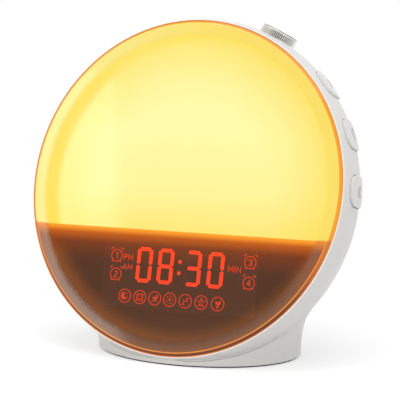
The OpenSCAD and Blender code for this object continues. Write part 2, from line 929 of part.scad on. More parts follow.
module speaker_cone() {
    edge = cone_r - 0.1;
    color([0.1, 0.1, 0.1]) at_speaker() translate([0, 0, -cover_in]) rotate_extrude() polygon([
        [0, cone_h + cone_t], [0, cone_h], [coil_r, cone_h + 0.8],
        [edge - 1.9, 0.6], [edge, 0.6],
        [edge, 0.6 + cone_t], [edge - 1.8, 0.6 + cone_t], [coil_r, cone_h + 0.8 + cone_t]
    ]);
}

module speaker_gasket() {
    color("black") at_speaker() slab(cover_in - speaker_pad_t, cover_in) ring(speaker_r, cone_r);
}

// ---------- knob ----------

knob_bottom_r = well_floor_r + 0.5;
knob_top_r = body_r + knob_rise;
knob_cap = 1.2;          // above the shaft's end
rib_h = 0.35;
collar_r = knob_r - 0.12;
dish_r = 78.3;
dish_depth = 0.3;

module knurl(r, h) {
    linear_extrude(h) polygon([for (i = [0 : 4 * knob_ribs - 1])
        let (k = i % 4, rr = (k == 0 || k == 3) ? r - rib_h : r)
        rr * [cos(360 * i / (4 * knob_ribs)), sin(360 * i / (4 * knob_ribs))]]);
}

module knob() {
    height = knob_top_r - knob_bottom_r;
    color("gainsboro") face_frame() knob_frame() translate([0, 0, knob_bottom_r]) difference() {
        union() {
            knurl(knob_r, height - 0.9);
            cylinder(r = knob_r - rib_h - 0.1, h = height - 0.9);
            // smooth collar with a bevelled edge
            translate([0, 0, height - 1]) cylinder(r = collar_r, h = 0.5);
            translate([0, 0, height - 0.5]) cylinder(r1 = collar_r, r2 = collar_r - 0.4, h = 0.5);
        }
        // shallow dish in the top, and the hole for the shaft
        translate([0, 0, height + dish_r - dish_depth]) sphere(dish_r);
        translate([0, 0, -1]) cylinder(r = shaft_r, h = height - knob_cap + 1);
    }
}

shaft_r = 2.25;
shaft_in = 3;            // how deep the shaft stands in the encoder
shaft_bottom_r = encoder_top_r - shaft_in;
encoder_w = 12;
encoder_h = 5;
knob_board_w = 13;
knob_board_t = 1.2;

module knob_shaft() {
    color("silver") face_frame() knob_frame()
        translate([0, 0, shaft_bottom_r]) cylinder(r = shaft_r, h = knob_top_r - knob_cap - shaft_bottom_r);
}

module encoder_body() {
    color("silver") face_frame() knob_frame() difference() {
        union() {
            translate([-encoder_w / 2, -encoder_w / 2, encoder_top_r - encoder_h])
                cube([encoder_w, encoder_w, encoder_h]);
            translate([0, 0, encoder_top_r - 1]) cylinder(r = bush_r, h = well_floor_r - encoder_top_r + 0.8);
        }
        translate([0, 0, shaft_bottom_r - 0.2]) cylinder(r = shaft_r + shaft_gap, h = encoder_drop + cut_out);
    }
}

module knob_board() {
    color("darkgreen") face_frame() knob_frame()
        translate([-knob_board_w / 2, -knob_board_w / 2, encoder_top_r - encoder_h - knob_board_t])
            cube([knob_board_w, knob_board_w, knob_board_t]);
}

// ---------- buttons ----------

tab_out = 0.8;
tab_t = 1.2;
tab_w = 10;
stem_r = 2.4;
tip_r = 1.5;
switch_drop = 12.3;
switch_base_r = body_r - switch_drop;
switch_w = 6;
switch_h = 3.6;
switch_top_r = switch_base_r + switch_h;

module button(angle) {
    color("white") face_frame() {
        intersection() {
            rotate_extrude() front_arc(-button_rise);
            radial(angle, button_depth) translate([0, 0, cap_bottom_r])
                linear_extrude(cut_out) rounded_box(button_w, button_l, button_corner);
        }
        radial(angle, button_depth) {
            // tabs that keep the button from falling out
            translate([-tab_w / 2, -button_l / 2 - tab_out, cap_bottom_r - tab_t])
                cube([tab_w, button_l + 2 * tab_out, tab_t]);
            translate([0, 0, switch_top_r + 1]) cylinder(r = stem_r, h = cap_bottom_r - switch_top_r - 1);
            translate([0, 0, switch_top_r - 0.3]) cylinder(r = tip_r, h = 1.6);
        }
    }
}

module button_right_1() { button(button_angles[0]); }
module button_right_2() { button(button_angles[1]); }
module button_right_3() { button(button_angles[2]); }
module button_left_1() { button(180 - button_angles[0]); }
module button_left_2() { button(180 - button_angles[1]); }
module button_left_3() { button(180 - button_angles[2]); }

strip_t = 0.4;
strip_gap = 0.1;         // between the strip and the bracket behind it
bracket_t = 1.5;
bracket_r = switch_base_r - strip_t - strip_gap;
key_front = panel_back + tray_wall + 0.6;
key_rear = button_depth + switch_w;
key_foot_w = 7.5;
key_foot_t = 1.6;
key_margin = 7.2;        // in degrees, past the outer buttons
key_feet = [
    button_angles[0] - key_margin + 0.6, button_start + 0.5 * button_pitch,
    button_start + 1.5 * button_pitch, button_angles[2] + key_margin - 0.6
];

// A strip round the body between two radii, over one side's buttons
module key_arc(inner, outer, margin) {
    rotate([0, 0, button_angles[0] - margin])
        rotate_extrude(angle = button_angles[2] - button_angles[0] + 2 * margin)
            depth_band(key_front, key_rear, inner, outer);
}

module key_bracket() {
    color([0.8, 0.8, 0.8]) face_frame() {
        key_arc(bracket_r - bracket_t, bracket_r, key_margin);
        // feet at both ends and between the buttons, up to the wall
        intersection() {
            rotate_extrude() front_arc(wall + 0.05);
            for (a = key_feet)
                radial(a, key_rear - 0.5) translate([-key_foot_w, -key_foot_t / 2, bracket_r - 0.2])
                    cube([key_foot_w, key_foot_t, switch_drop]);
        }
    }
}

module key_strip() {
    slot_t = key_foot_t + 0.4;
    color("orange") face_frame() difference() {
        key_arc(switch_base_r - strip_t, switch_base_r, key_margin - 0.6);
        for (a = key_feet)
            radial(a, key_rear) translate([-key_foot_w - 0.7, -slot_t / 2, bracket_r - bracket_t])
                cube([key_foot_w + 2, slot_t, 2 * (strip_t + bracket_t)]);
    }
}

module key_switches() {
    color([0.15, 0.15, 0.15]) face_frame()
        for (a = button_angles)
            radial(a, button_depth) difference() {
                translate([-switch_w / 2, -switch_w / 2, switch_base_r]) cube([switch_w, switch_w, switch_h]);
                translate([0, 0, switch_top_r - 1.3]) cylinder(r = tip_r + run_gap, h = switch_h);
            }
}

module key_bracket_right() { key_bracket(); }
module key_bracket_left() { mirror([1, 0, 0]) key_bracket(); }
module key_strip_right() { key_strip(); }
module key_strip_left() { mirror([1, 0, 0]) key_strip(); }
module key_switches_right() { key_switches(); }
module key_switches_left() { mirror([1, 0, 0]) key_switches(); }

// ---------- rear fittings ----------

inlet_body = [9.5, 11];
inlet_l = 10;
plug_r = 2.75;
plug_depth = 9;
inlet_pin_r = 1;
aerial_r = 1;            // hole for the aerial wire
grommet_lip = 0.8;

module power_inlet() {
    color([0.1, 0.1, 0.1]) face_frame() translate([inlet_x, inlet_y, 0]) difference() {
        union() {
            slab(cover_in - inlet_l, cover_in) square(inlet_body, center = true);
            slab(cover_in - 1, back_depth - 0.2) circle(inlet_d / 2);
        }
        slab(back_depth - plug_depth, back_depth + 1) ring(plug_r, inlet_pin_r);
    }
}

module aerial_grommet() {
    color([0.1, 0.1, 0.1]) face_frame() translate([grommet_x, grommet_y, 0]) {
        slab(cover_in, back_depth) ring(grommet_r - slip / 2, aerial_r);
        for (from = [cover_in - grommet_lip, back_depth])
            slab(from, from + grommet_lip) ring(grommet_r + 1, aerial_r);
    }
}

module battery_door() {
    color("white") face_frame() difference() {
        slab(back_depth - door_t, back_depth) door_outline(-slip);
        translate([0, battery_screw_y, -back_depth - 1]) {
            cylinder(r = 1.1, h = 6);
            cylinder(r = 2.1, h = 1 + 1);
        }
        // finger groove along the upper edge
        for (x = [-4 : 2 : 4])
            translate([x - 0.4, door_y + door_w / 2 - 6, -back_depth - 1]) cube([0.8, 4, 1.4]);
    }
}

module battery_screw() {
    color("silver") face_frame() translate([0, battery_screw_y, -back_depth + 1]) rotate([180, 0, 0])
        difference() {
            union() {
                cylinder(r = 1.9, h = 0.9);
                translate([0, 0, -3.6]) cylinder(r = 0.8, h = 3.6);
            }
            for (a = [0, 90])
                rotate([0, 0, a]) translate([-1.2, -0.25, 0.4]) cube([2.4, 0.5, 1]);
        }
}

module coin_cell() {
    color("silver") face_frame() translate([cell_x, door_y + 1, 0])
        slab(back_depth - door_t - 0.4 - cell_t, back_depth - door_t - 0.4) circle(cell_d / 2);
}

module battery_contacts() {
    color("gold") face_frame() translate([cell_x, door_y + 1, 0])
        for (x = [-4, 4])
            translate([x, 0, 0]) slab(cell_floor_depth, back_depth - door_t - 0.4 - cell_t)
                square([2.4, 9], center = true);
}

front_housing();
rear_cover();
foot();
base_plate();
foot_pad();
front_lens();
lens_gasket();
light_diffuser();
display_window();
light_tray();
light_board();
warm_leds();
color_leds();
display_shroud();
led_display();
display_segments();
display_board();
display_screws();
chassis();
chassis_screws();
main_board();
main_board_chips();
radio_module();
capacitors();
board_connectors();
main_board_screws();
speaker_frame();
speaker_magnet();
speaker_cone();
speaker_gasket();
knob();
knob_shaft();
encoder_body();
knob_board();
button_right_1();
button_right_2();
button_right_3();
button_left_1();
button_left_2();
button_left_3();
key_bracket_right();
key_bracket_left();
key_strip_right();
key_strip_left();
key_switches_right();
key_switches_left();
power_inlet();
aerial_grommet();
battery_door();
battery_screw();
coin_cell();
battery_contacts();
rear_screws();
base_screws();
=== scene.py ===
"""Round sunrise alarm clock: materials, display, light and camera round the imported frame."""

import json
import math

import bmesh
import bpy
from mathutils import Matrix, Quaternion, Vector


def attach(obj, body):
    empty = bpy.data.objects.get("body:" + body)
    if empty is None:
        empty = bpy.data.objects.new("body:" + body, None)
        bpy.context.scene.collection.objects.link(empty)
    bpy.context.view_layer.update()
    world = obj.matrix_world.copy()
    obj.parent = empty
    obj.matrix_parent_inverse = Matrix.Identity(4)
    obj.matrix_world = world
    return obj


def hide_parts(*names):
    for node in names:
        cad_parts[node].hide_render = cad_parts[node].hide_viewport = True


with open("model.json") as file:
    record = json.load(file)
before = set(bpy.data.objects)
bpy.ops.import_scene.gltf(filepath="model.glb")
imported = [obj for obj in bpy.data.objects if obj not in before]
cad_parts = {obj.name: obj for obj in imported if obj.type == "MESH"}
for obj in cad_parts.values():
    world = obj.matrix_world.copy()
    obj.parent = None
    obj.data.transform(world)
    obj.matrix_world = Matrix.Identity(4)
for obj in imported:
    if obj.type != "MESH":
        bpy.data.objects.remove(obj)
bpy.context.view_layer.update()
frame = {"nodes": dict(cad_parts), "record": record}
nodes_by_name = frame["nodes"]

# ---------------------------------------------------------------- sizes, in millimetres

MM = 0.001
LEAN = math.radians(14)
FACE_HEIGHT = 86.298
FACE_AHEAD = 20.65
LIP_R = 84.0            # outer edge of the lens, inner edge of the housing's thin lip
LIP_T = 0.9
BEVEL_R = 82.65         # mean inner edge of the lens's amber rim
OUTER_LINE = 83.3, 83.8  # radii where the outermost line of the rim starts and is full
PIPE_R = 75.2           # the lens's edge starts to glow here
DOME_R = 786.0          # radius of the lens's dome
DOME_IOR = 1.37         # how strongly the dome mirrors
SPLIT_DROP = 22.1
DIGIT_H = 17.8
DIGIT_W = 8.6
SEGMENT_W = 1.9
DIGIT_DROP = 39.7
DIGIT_X = (-19.3, -7.5, 7.7, 19.9)
CASE_FRONT = 7.6
CASE_HALF_W = 42.05
CASE_TOP = 29.6
CASE_BOTTOM = 62.1
CLEAR_SHIFT = 1.2       # the clear area of the window lies this much to the right of the display case
BODY_R = 86.7
BULGE_R = 36.0
CREST_DEPTH = 12.5
SEAM_DEPTH = 28.0
REAR_BULGE_R = 48.0
BACK_DEPTH = 55.33
FOOT_A = 54.1
FOOT_B = 39.1
FOOT_WRAP = 50.0
FOOT_WRAP_POWER = 0.45
FOOT_LOWEST = 3.4       # the foot meets the body nowhere below this height
FOOT_ROWS = 96
FOOT_STEPS = 1000       # steps of the search for that meeting point
FOOT_GAP = 0.2
PAD_T = 0.8
RIM_FRONT = 0.8
RIM_BACK = 0.6
FILLET = 1.3            # how far the rounded joint reaches up the body and down the foot
FOOT_TOP = 34.0         # highest point of the fillet
FOOT_FADE = 8.0         # the shading of narrow gaps comes in over this height above it
BUTTON_RISE = 1.1
BUTTON_DEPTH = 14.0
BUTTON_START = 2.2
BUTTON_PITCH = 18.6
KNOB_ANGLE = 65.5
KNOB_DEPTH = 18.0
KNOB_R = 9.5
RIB_H = 0.35

# Face frame: X right, Y up the face, Z out of the front, origin at the centre of the face
FACE = (
    Matrix.Translation((0, -FACE_AHEAD * MM, FACE_HEIGHT * MM))
    @ Matrix.Rotation(math.pi / 2 - LEAN, 4, "X")
    @ Matrix.Scale(MM, 4)
)


def srgb(r, g, b):
    """An 8-bit display colour as linear RGBA."""
    def linear(v):
        v /= 255
        return v / 12.92 if v <= 0.04045 else ((v + 0.055) / 1.055) ** 2.4

    return (linear(r), linear(g), linear(b), 1.0)


def scaled(color, factor):
    """A linear colour made darker or lighter."""
    return tuple(min(c * factor, 1.0) for c in color[:3]) + (1.0,)


WHITE = (1.0, 1.0, 1.0, 1.0)
BLACK = (0.0, 0.0, 0.0, 1.0)

# ---------------------------------------------------------------- shader helpers


class Shader:
    """A material, or the world, under construction."""

    def __init__(self, name, world=False):
        self.made = (bpy.data.worlds if world else bpy.data.materials).new(name)
        self.made.use_nodes = True
        self.tree = self.made.node_tree
        self.tree.nodes.clear()
        self.output = self.node("OutputWorld" if world else "OutputMaterial")

    def node(self, kind, inputs=None, **settings):
        made = self.tree.nodes.new("ShaderNode" + kind)
        for key, value in settings.items():
            setattr(made, key, value)
        for key, value in (inputs or {}).items():
            self.put(made.inputs[key], value)
        return made

    def put(self, socket, value):
        if isinstance(value, bpy.types.NodeSocket):
            self.tree.links.new(value, socket)
        else:
            socket.default_value = value

    def math(self, operation, a, b=0.0, clamp=False):
        return self.node("Math", {0: a, 1: b}, operation=operation, use_clamp=clamp).outputs[0]

    def vector(self, operation, a, b, out=0):
        return self.node("VectorMath", {0: a, 1: b}, operation=operation).outputs[out]

    def ramp(self, value, start, end, smooth=True):
        """0 below start, 1 above end."""
        made = self.node(
            "MapRange",
            {"Value": value, "From Min": start, "From Max": end},
            interpolation_type="SMOOTHSTEP" if smooth else "LINEAR",
        )
        return made.outputs["Result"]

    def blend(self, factor, a, b):
        """Colour a where the factor is 0, colour b where it is 1."""
        made = self.node("Mix", data_type="RGBA")
        self.put(made.inputs["Factor"], factor)
        self.put(made.inputs[6], a)
        self.put(made.inputs[7], b)
        return made.outputs[2]

    def position(self):
        return self.node("TexCoord").outputs["Object"]

    def along(self, direction):
        """Distance in millimetres from the centre of the face along a direction of the row frame."""
        centre = (0.0, -FACE_AHEAD * MM, FACE_HEIGHT * MM)
        local = self.vector("SUBTRACT", self.position(), centre)
        return self.vector("DOT_PRODUCT", local, tuple(c / MM for c in direction), 1)

    def face_coordinates(self):
        """(x, y, radius) on the face in millimetres."""
        x = self.along((1.0, 0.0, 0.0))
        y = self.along((0.0, math.sin(LEAN), math.cos(LEAN)))
        squares = self.math("ADD", self.math("MULTIPLY", x, x), self.math("MULTIPLY", y, y))
        return x, y, self.math("SQRT", squares)

    def face_depth(self):
        """Depth behind the plane of the front, in millimetres."""
        return self.along((0.0, math.cos(LEAN), -math.sin(LEAN)))

    def front_side(self):
        """1 where a surface is met from outside."""
        return self.math("SUBTRACT", 1.0, self.node("NewGeometry").outputs["Backfacing"])

    def backdrop_rays(self):
        """1 for the rays that show the backdrop: from the camera, off gloss and through glass."""
        rays = self.node("LightPath").outputs
        mirrored = self.math("ADD", rays["Is Glossy Ray"], rays["Is Transmission Ray"], True)
        return self.math("ADD", rays["Is Camera Ray"], mirrored, True)

    def noise(self, scale, detail):
        return self.node(
            "TexNoise",
            {"Vector": self.position(), "Scale": scale, "Detail": detail, "Roughness": 0.55},
        ).outputs["Fac"]

    def spread(self, noise, least, most):
        """The middle part of a noise, stretched between two values."""
        return self.node(
            "MapRange",
            {"Value": noise, "From Min": 0.3, "From Max": 0.7, "To Min": least, "To Max": most},
        ).outputs["Result"]

    def smear(self):
        """Roughness of the dome, a little uneven as after wiping."""
        return self.spread(self.noise(40.0, 3.0), 0.09, 0.12)

    def bump(self, height, distance):
        made = self.node("Bump", {"Height": height, "Distance": distance, "Strength": 1.0})
        return made.outputs["Normal"]

    def finish(self, surface):
        self.tree.links.new(surface, self.output.inputs["Surface"])
        return self.made


ROUGH_SPREAD = 0.06
# reach of the painted shade in narrow gaps
CREVICE_SHADE = 0.0008        # in metres


def surface(name, color, roughness, metallic=0.0, grain=900.0, depth=0.00002, tint=0.03,
            specular=0.5, blotch=60.0, subsurface=0.0, crevice_shade=0.0, painted_lip_light=False):
    """A moulded, painted or sheet surface: fine grain in the bump, soft blotches in colour and roughness.

    Narrow gaps above the foot get painted shade: their colour darkens within the given crevice distance. On
    request, the lip round the lens gets a painted glow, standing in for the lens's light on it.
    """
    sh = Shader(name)
    broad = sh.noise(blotch, 4.0)
    fine = sh.noise(grain, 2.0)
    base = sh.blend(broad, scaled(color, 1 - tint), scaled(color, 1 + tint))
    # painted shade: where ambient occlusion finds a narrow gap, the base colour darkens to a quarter; below
    # the top of the foot it stays as it is
    if crevice_shade:
        openness = sh.node("AmbientOcclusion", {"Distance": crevice_shade}, samples=8).outputs["AO"]
        open_part = sh.ramp(openness, 0.05, 0.45)
        height = sh.node("SeparateXYZ", {0: sh.position()}).outputs["Z"]
        by_foot = sh.ramp(height, (FOOT_TOP + FOOT_FADE) * MM, FOOT_TOP * MM)
        base = sh.blend(sh.math("MAXIMUM", open_part, by_foot), scaled(color, 0.25), base)
    shader = sh.node("BsdfPrincipled", {
        "Base Color": base,
        "Roughness": sh.spread(broad, roughness - ROUGH_SPREAD, roughness + ROUGH_SPREAD),
        "Metallic": metallic,
        "Specular IOR Level": specular,
        "Normal": sh.bump(fine, depth),
    })
    # painted light: the lip round the lens glows faintly white, standing in for the lens's light falling on
    # it
    if painted_lip_light:
        _, _, r = sh.face_coordinates()
        ahead = sh.ramp(sh.face_depth(), 0.5, 0.1)
        on_lip = sh.math("MULTIPLY", ahead, sh.math("LESS_THAN", r, LIP_R + LIP_T))
        shader.inputs["Emission Color"].default_value = (1.0, 0.97, 0.92, 1.0)
        sh.put(shader.inputs["Emission Strength"], sh.math("MULTIPLY", on_lip, 0.22))
    if subsurface:
        shader.inputs["Subsurface Weight"].default_value = subsurface
        shader.inputs["Subsurface Scale"].default_value = 0.002
    return sh.finish(shader.outputs[0])


def under_dome(sh, panel):
    """A panel behind the clear dome, with the faint mirror image that the dome's curve gives it."""
    centre = FACE @ Vector((0, 0, -DOME_R))
    away = sh.vector("SUBTRACT", sh.position(), tuple(centre))
    normal = sh.vector("NORMALIZE", away, (0.0, 0.0, 0.0))
    gloss = sh.node("BsdfGlossy", {"Color": WHITE, "Roughness": sh.smear(), "Normal": normal})
    fresnel = sh.node("Fresnel", {"IOR": DOME_IOR, "Normal": normal})
    return sh.node("MixShader", {0: fresnel.outputs[0], 1: panel.outputs[0], 2: gloss.outputs[0]})


def lit_diffuser():
    """Milky panel lit from behind: pale in the middle, deeper yellow to the rim and down to the split."""
    sh = Shader("lit_diffuser")
    _, y, r = sh.face_coordinates()
    cloud = sh.math("MULTIPLY", sh.math("SUBTRACT", sh.noise(18.0, 2.0), 0.5), 8.0)
    to_rim = sh.ramp(sh.math("ADD", r, cloud), 40.0, 92.0)
    half_way = sh.math("MULTIPLY", sh.ramp(y, 30.0, 5.0), 0.2)
    to_split = sh.math("ADD", half_way, sh.math("MULTIPLY", sh.ramp(y, 5.0, -30.0), 0.6))
    pale = sh.math("MULTIPLY", sh.math("SUBTRACT", 1.0, to_rim), sh.math("SUBTRACT", 1.0, to_split))
    color = sh.blend(pale, srgb(254, 221, 72), srgb(255, 249, 165))
    glow = sh.node("Emission", {"Color": color, "Strength": 1.08})
    skin = sh.node("BsdfPrincipled", {
        "Base Color": srgb(250, 235, 170), "Roughness": 0.45,
        "Normal": sh.bump(sh.noise(700.0, 2.0), 0.00001),
    })
    both = sh.node("MixShader", {0: 0.12, 1: glow.outputs[0], 2: skin.outputs[0]})
    return sh.finish(under_dome(sh, both).outputs[0])


# Light that bleeds into the window below the diffuser and fades from amber to brown: the distances below
# the split where it starts and is full, its share and its colour
BLEED = (
    (20.0, 3.0, 0.75, srgb(132, 52, 8)),
    (9.0, 2.0, 0.9, srgb(196, 92, 16)),
    (3.8, 0.2, 1.0, srgb(252, 157, 38)),
)


def smoked_window():
    """Dark tinted panel: the light behind the diffuser bleeds in along its upper edge and round its rim."""
    sh = Shader("smoked_window")
    x, y, r = sh.face_coordinates()
    low = sh.math("MULTIPLY", sh.ramp(y, -52.0, -82.0), 0.5)
    rim = sh.math("MULTIPLY", sh.ramp(r, 68.0, 82.0), 0.75)
    color = sh.blend(low, srgb(62, 40, 28), srgb(82, 58, 47))
    color = sh.blend(rim, color, srgb(152, 88, 42))
    below = sh.math("SUBTRACT", -SPLIT_DROP, y)
    for start, end, share, shade in BLEED:
        color = sh.blend(sh.math("MULTIPLY", sh.ramp(below, start, end), share), color, shade)
    glow = sh.node("Emission", {"Color": color, "Strength": 1.05})
    # the window lets light through only in front of the display case
    aside = sh.math("ABSOLUTE", sh.math("SUBTRACT", x, CLEAR_SHIFT))
    across = sh.ramp(aside, CASE_HALF_W + 0.4, CASE_HALF_W - 0.2)
    lower_edge = sh.ramp(y, -CASE_BOTTOM, -CASE_BOTTOM + 1.0)
    upper_edge = sh.ramp(y, -CASE_TOP, -CASE_TOP - 1.0)
    before = sh.math("MULTIPLY", across, sh.math("MULTIPLY", lower_edge, upper_edge))
    tint = sh.node("BsdfTransparent", {"Color": sh.blend(before, BLACK, (0.6, 0.34, 0.26, 1.0))})
    # beside the case a matt dark skin makes up part of the colour; in front of it plain light does
    skin_color = srgb(66, 43, 32)
    skin = sh.node("BsdfDiffuse", {"Color": sh.blend(before, skin_color, BLACK)})
    made_up = sh.node("Emission", {"Color": sh.blend(before, BLACK, skin_color), "Strength": 1.0})
    light = sh.node("AddShader", {0: glow.outputs[0], 1: made_up.outputs[0]})
    matter = sh.node("AddShader", {0: skin.outputs[0], 1: tint.outputs[0]})
    panel = sh.node("AddShader", {0: light.outputs[0], 1: matter.outputs[0]})
    # met from behind, the panel is simply clear
    clear = sh.node("BsdfTransparent", {"Color": WHITE})
    both = sh.node("MixShader", {0: sh.front_side(), 1: clear.outputs[0], 2: panel.outputs[0]})
    return sh.finish(both.outputs[0])


def clear_lens():
    """Clear dome; its edge carries the light round, amber above the split and brown below it."""
    sh = Shader("clear_lens")
    x, y, r = sh.face_coordinates()
    upper = sh.ramp(y, -SPLIT_DROP - 1.0, -SPLIT_DROP + 0.5)
    near_split = sh.ramp(y, -SPLIT_DROP - 7.0, -SPLIT_DROP)
    fading = sh.ramp(y, -SPLIT_DROP - 38.0, -SPLIT_DROP - 2.0)
    pipe = sh.ramp(r, PIPE_R, PIPE_R + 4.0)
    # the rim is a little wider at the lower right
    slant = sh.math("SUBTRACT", sh.math("MULTIPLY", x, 0.39), sh.math("MULTIPLY", y, 0.23))
    inward = sh.math("ADD", r, sh.math("DIVIDE", slant, r))
    bevel = sh.ramp(inward, BEVEL_R - 0.2, BEVEL_R + 0.15, False)
    line_start = sh.ramp(inward, BEVEL_R - 0.9, BEVEL_R - 0.3)
    line_end = sh.ramp(inward, BEVEL_R + 0.4, BEVEL_R)
    inner_line = sh.math("MULTIPLY", line_start, line_end)
    outer_line = sh.ramp(r, *OUTER_LINE)
    # the glow inside the rim: yellow above the split, smoky below it
    # the rim glows; towards the left it turns paler, a painted reflection of the lamp on the left
    yellow = sh.blend(sh.ramp(x, 30.0, -50.0), srgb(253, 225, 100), srgb(254, 234, 130))
    deep = sh.blend(sh.ramp(r, PIPE_R, PIPE_R + 9.5), srgb(104, 70, 50), srgb(146, 92, 58))
    smoky = sh.blend(fading, deep, srgb(146, 86, 52))
    smoky = sh.blend(near_split, smoky, srgb(240, 138, 46))
    glass = sh.blend(upper, smoky, yellow)
    lower_line = sh.math("MULTIPLY", inner_line, sh.math("SUBTRACT", 1.0, upper))
    lined = sh.blend(lower_line, glass, srgb(244, 148, 60))
    # the rim itself
    amber = sh.blend(outer_line, srgb(252, 160, 34), srgb(244, 142, 36))
    dusky = sh.blend(fading, srgb(110, 56, 30), srgb(214, 118, 44))
    brown = sh.blend(outer_line, dusky, srgb(222, 124, 50))
    rim = sh.blend(upper, brown, amber)
    edge = sh.node("Emission", {"Color": sh.blend(bevel, lined, rim), "Strength": 0.98})
    clear = sh.node("BsdfTransparent", {"Color": (0.99, 0.985, 0.98, 1.0)})
    body = sh.node("MixShader", {0: pipe, 1: clear.outputs[0], 2: edge.outputs[0]})
    # the lens mirrors only at its glowing edge; further in the light panel carries the mirror image
    gloss = sh.node("BsdfGlossy", {"Color": WHITE, "Roughness": sh.smear()})
    fresnel = sh.node("Fresnel", {"IOR": DOME_IOR})
    shine = sh.math("MULTIPLY", sh.math("MULTIPLY", fresnel.outputs[0], sh.front_side()), pipe)
    both = sh.node("MixShader", {0: shine, 1: body.outputs[0], 2: gloss.outputs[0]})
    return sh.finish(both.outputs[0])


def ribbed_metal():
    """Satin metal of the knob, with painted shade in the grooves between its ribs."""
    sh = Shader("knob_satin")
    turn = math.radians(KNOB_ANGLE)
    centre = FACE @ Vector((0, 0, -KNOB_DEPTH))
    axis = (FACE.to_3x3() @ Vector((math.cos(turn), math.sin(turn), 0))).normalized()
    local = sh.vector("SUBTRACT", sh.position(), tuple(centre))
    radius = sh.vector("LENGTH", sh.vector("CROSS_PRODUCT", local, tuple(axis)), (0.0, 0.0, 0.0), 1)
    out = sh.math("MULTIPLY", radius, 1 / MM)
    crest = sh.ramp(out, KNOB_R - RIB_H * 0.9, KNOB_R - RIB_H * 0.25)
    # the flat top ends just inside the foot of the ribs
    beside_top = sh.ramp(out, KNOB_R - RIB_H - 0.25, KNOB_R - RIB_H - 0.2)
    # painted shade: the grooves take a dark colour, the crests a light one
    side = sh.blend(crest, srgb(96, 94, 91), srgb(232, 230, 225))
    shader = sh.node("BsdfPrincipled", {
        "Base Color": sh.blend(beside_top, srgb(205, 203, 199), side),
        "Roughness": 0.3,
        "Metallic": 0.8,
        "Normal": sh.bump(sh.noise(2500.0, 2.0), 0.000003),
    })
    return sh.finish(shader.outputs[0])


def lit(name, color, strength):
    """A lit display element, slightly uneven as a light-emitting segment is."""
    sh = Shader(name)
    uneven = sh.ramp(sh.noise(350.0, 2.0), 0.2, 0.8)
    varied = sh.blend(uneven, scaled(color, 0.86), color)
    glow = sh.node("Emission", {"Color": varied, "Strength": strength})
    return sh.finish(glow.outputs[0])


MATERIALS = {
    # the white shell and the buttons take painted shade in narrow gaps; the shell also takes a painted glow
    # on the lip round the lens
    "white_shell": surface("white_shell", srgb(233, 231, 228), 0.36, tint=0.012, subsurface=0.05,
                           crevice_shade=CREVICE_SHADE, painted_lip_light=True),
    "button_white": surface("button_white", srgb(234, 232, 229), 0.32, tint=0.012, grain=1200.0,
                            crevice_shade=CREVICE_SHADE),
    "grey_plastic": surface("grey_plastic", srgb(200, 200, 199), 0.5, tint=0.03),
    "rubber": surface("rubber", srgb(44, 44, 46), 0.75, grain=1500.0, depth=0.00005),
    "clear_lens": clear_lens(),
    "black_foam": surface("black_foam", srgb(26, 26, 26), 0.95, grain=2500.0, depth=0.0002),
    "gasket_pale": surface("gasket_pale", srgb(238, 230, 196), 0.6, subsurface=0.2),
    "lit_diffuser": lit_diffuser(),
    "smoked_window": smoked_window(),
    "reflector_white": surface("reflector_white", srgb(236, 236, 232), 0.6),
    "board_white": surface("board_white", srgb(232, 232, 228), 0.4),
    "led_yellow": surface("led_yellow", srgb(240, 214, 90), 0.35, blotch=300.0),
    "led_clear": surface("led_clear", srgb(214, 222, 228), 0.2, blotch=300.0),
    "black_plastic": surface("black_plastic", srgb(12, 11, 11), 0.85, grain=1600.0, depth=0.000008,
                             specular=0.15),
    "lit_segments": lit("lit_segments", srgb(255, 64, 18), 1.8),
    "board_green": surface("board_green", srgb(24, 92, 48), 0.35, grain=1800.0),
    "screw_steel": surface("screw_steel", srgb(176, 176, 178), 0.32, metallic=1.0, grain=3000.0),
    "dark_plastic": surface("dark_plastic", srgb(58, 58, 62), 0.55),
    "chip_black": surface("chip_black", srgb(30, 30, 32), 0.6, grain=3000.0),
    "shield_metal": surface("shield_metal", srgb(190, 190, 192), 0.3, metallic=1.0),
    "capacitor_sleeve": surface("capacitor_sleeve", srgb(34, 46, 96), 0.3),
    "connector_ivory": surface("connector_ivory", srgb(226, 220, 200), 0.5),
    "magnet": surface("magnet", srgb(66, 66, 68), 0.55, metallic=0.4),
    "speaker_paper": surface("speaker_paper", srgb(40, 40, 42), 0.85, grain=2000.0, depth=0.0001),
    "knob_satin": ribbed_metal(),
    "flex_amber": surface("flex_amber", srgb(176, 104, 30), 0.3),
    "contact_brass": surface("contact_brass", srgb(206, 176, 96), 0.25, metallic=1.0),
}
GHOST = surface("unlit_segment", srgb(24, 18, 17), 0.8, specular=0.15)

for part in frame["record"]["subparts"]:
    node_object = nodes_by_name[part["node"]]
    node_object.data.materials.clear()
    node_object.data.materials.append(MATERIALS[part["material_slot"]])

# ---------------------------------------------------------------- mesh helpers


def mesh_object(name, bm, material, body="clock"):
    """A new piece from a bmesh whose vertices are already in the row frame, riding on a body."""
    bmesh.ops.recalc_face_normals(bm, faces=bm.faces[:])
    mesh = bpy.data.meshes.new(name)
    bm.to_mesh(mesh)
    bm.free()
    made = bpy.data.objects.new(name, mesh)
    bpy.context.scene.collection.objects.link(made)
    made.data.materials.append(material)
    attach(made, body)
    return made


def on_face(x, y, z):
    return FACE @ Vector((x, y, z))


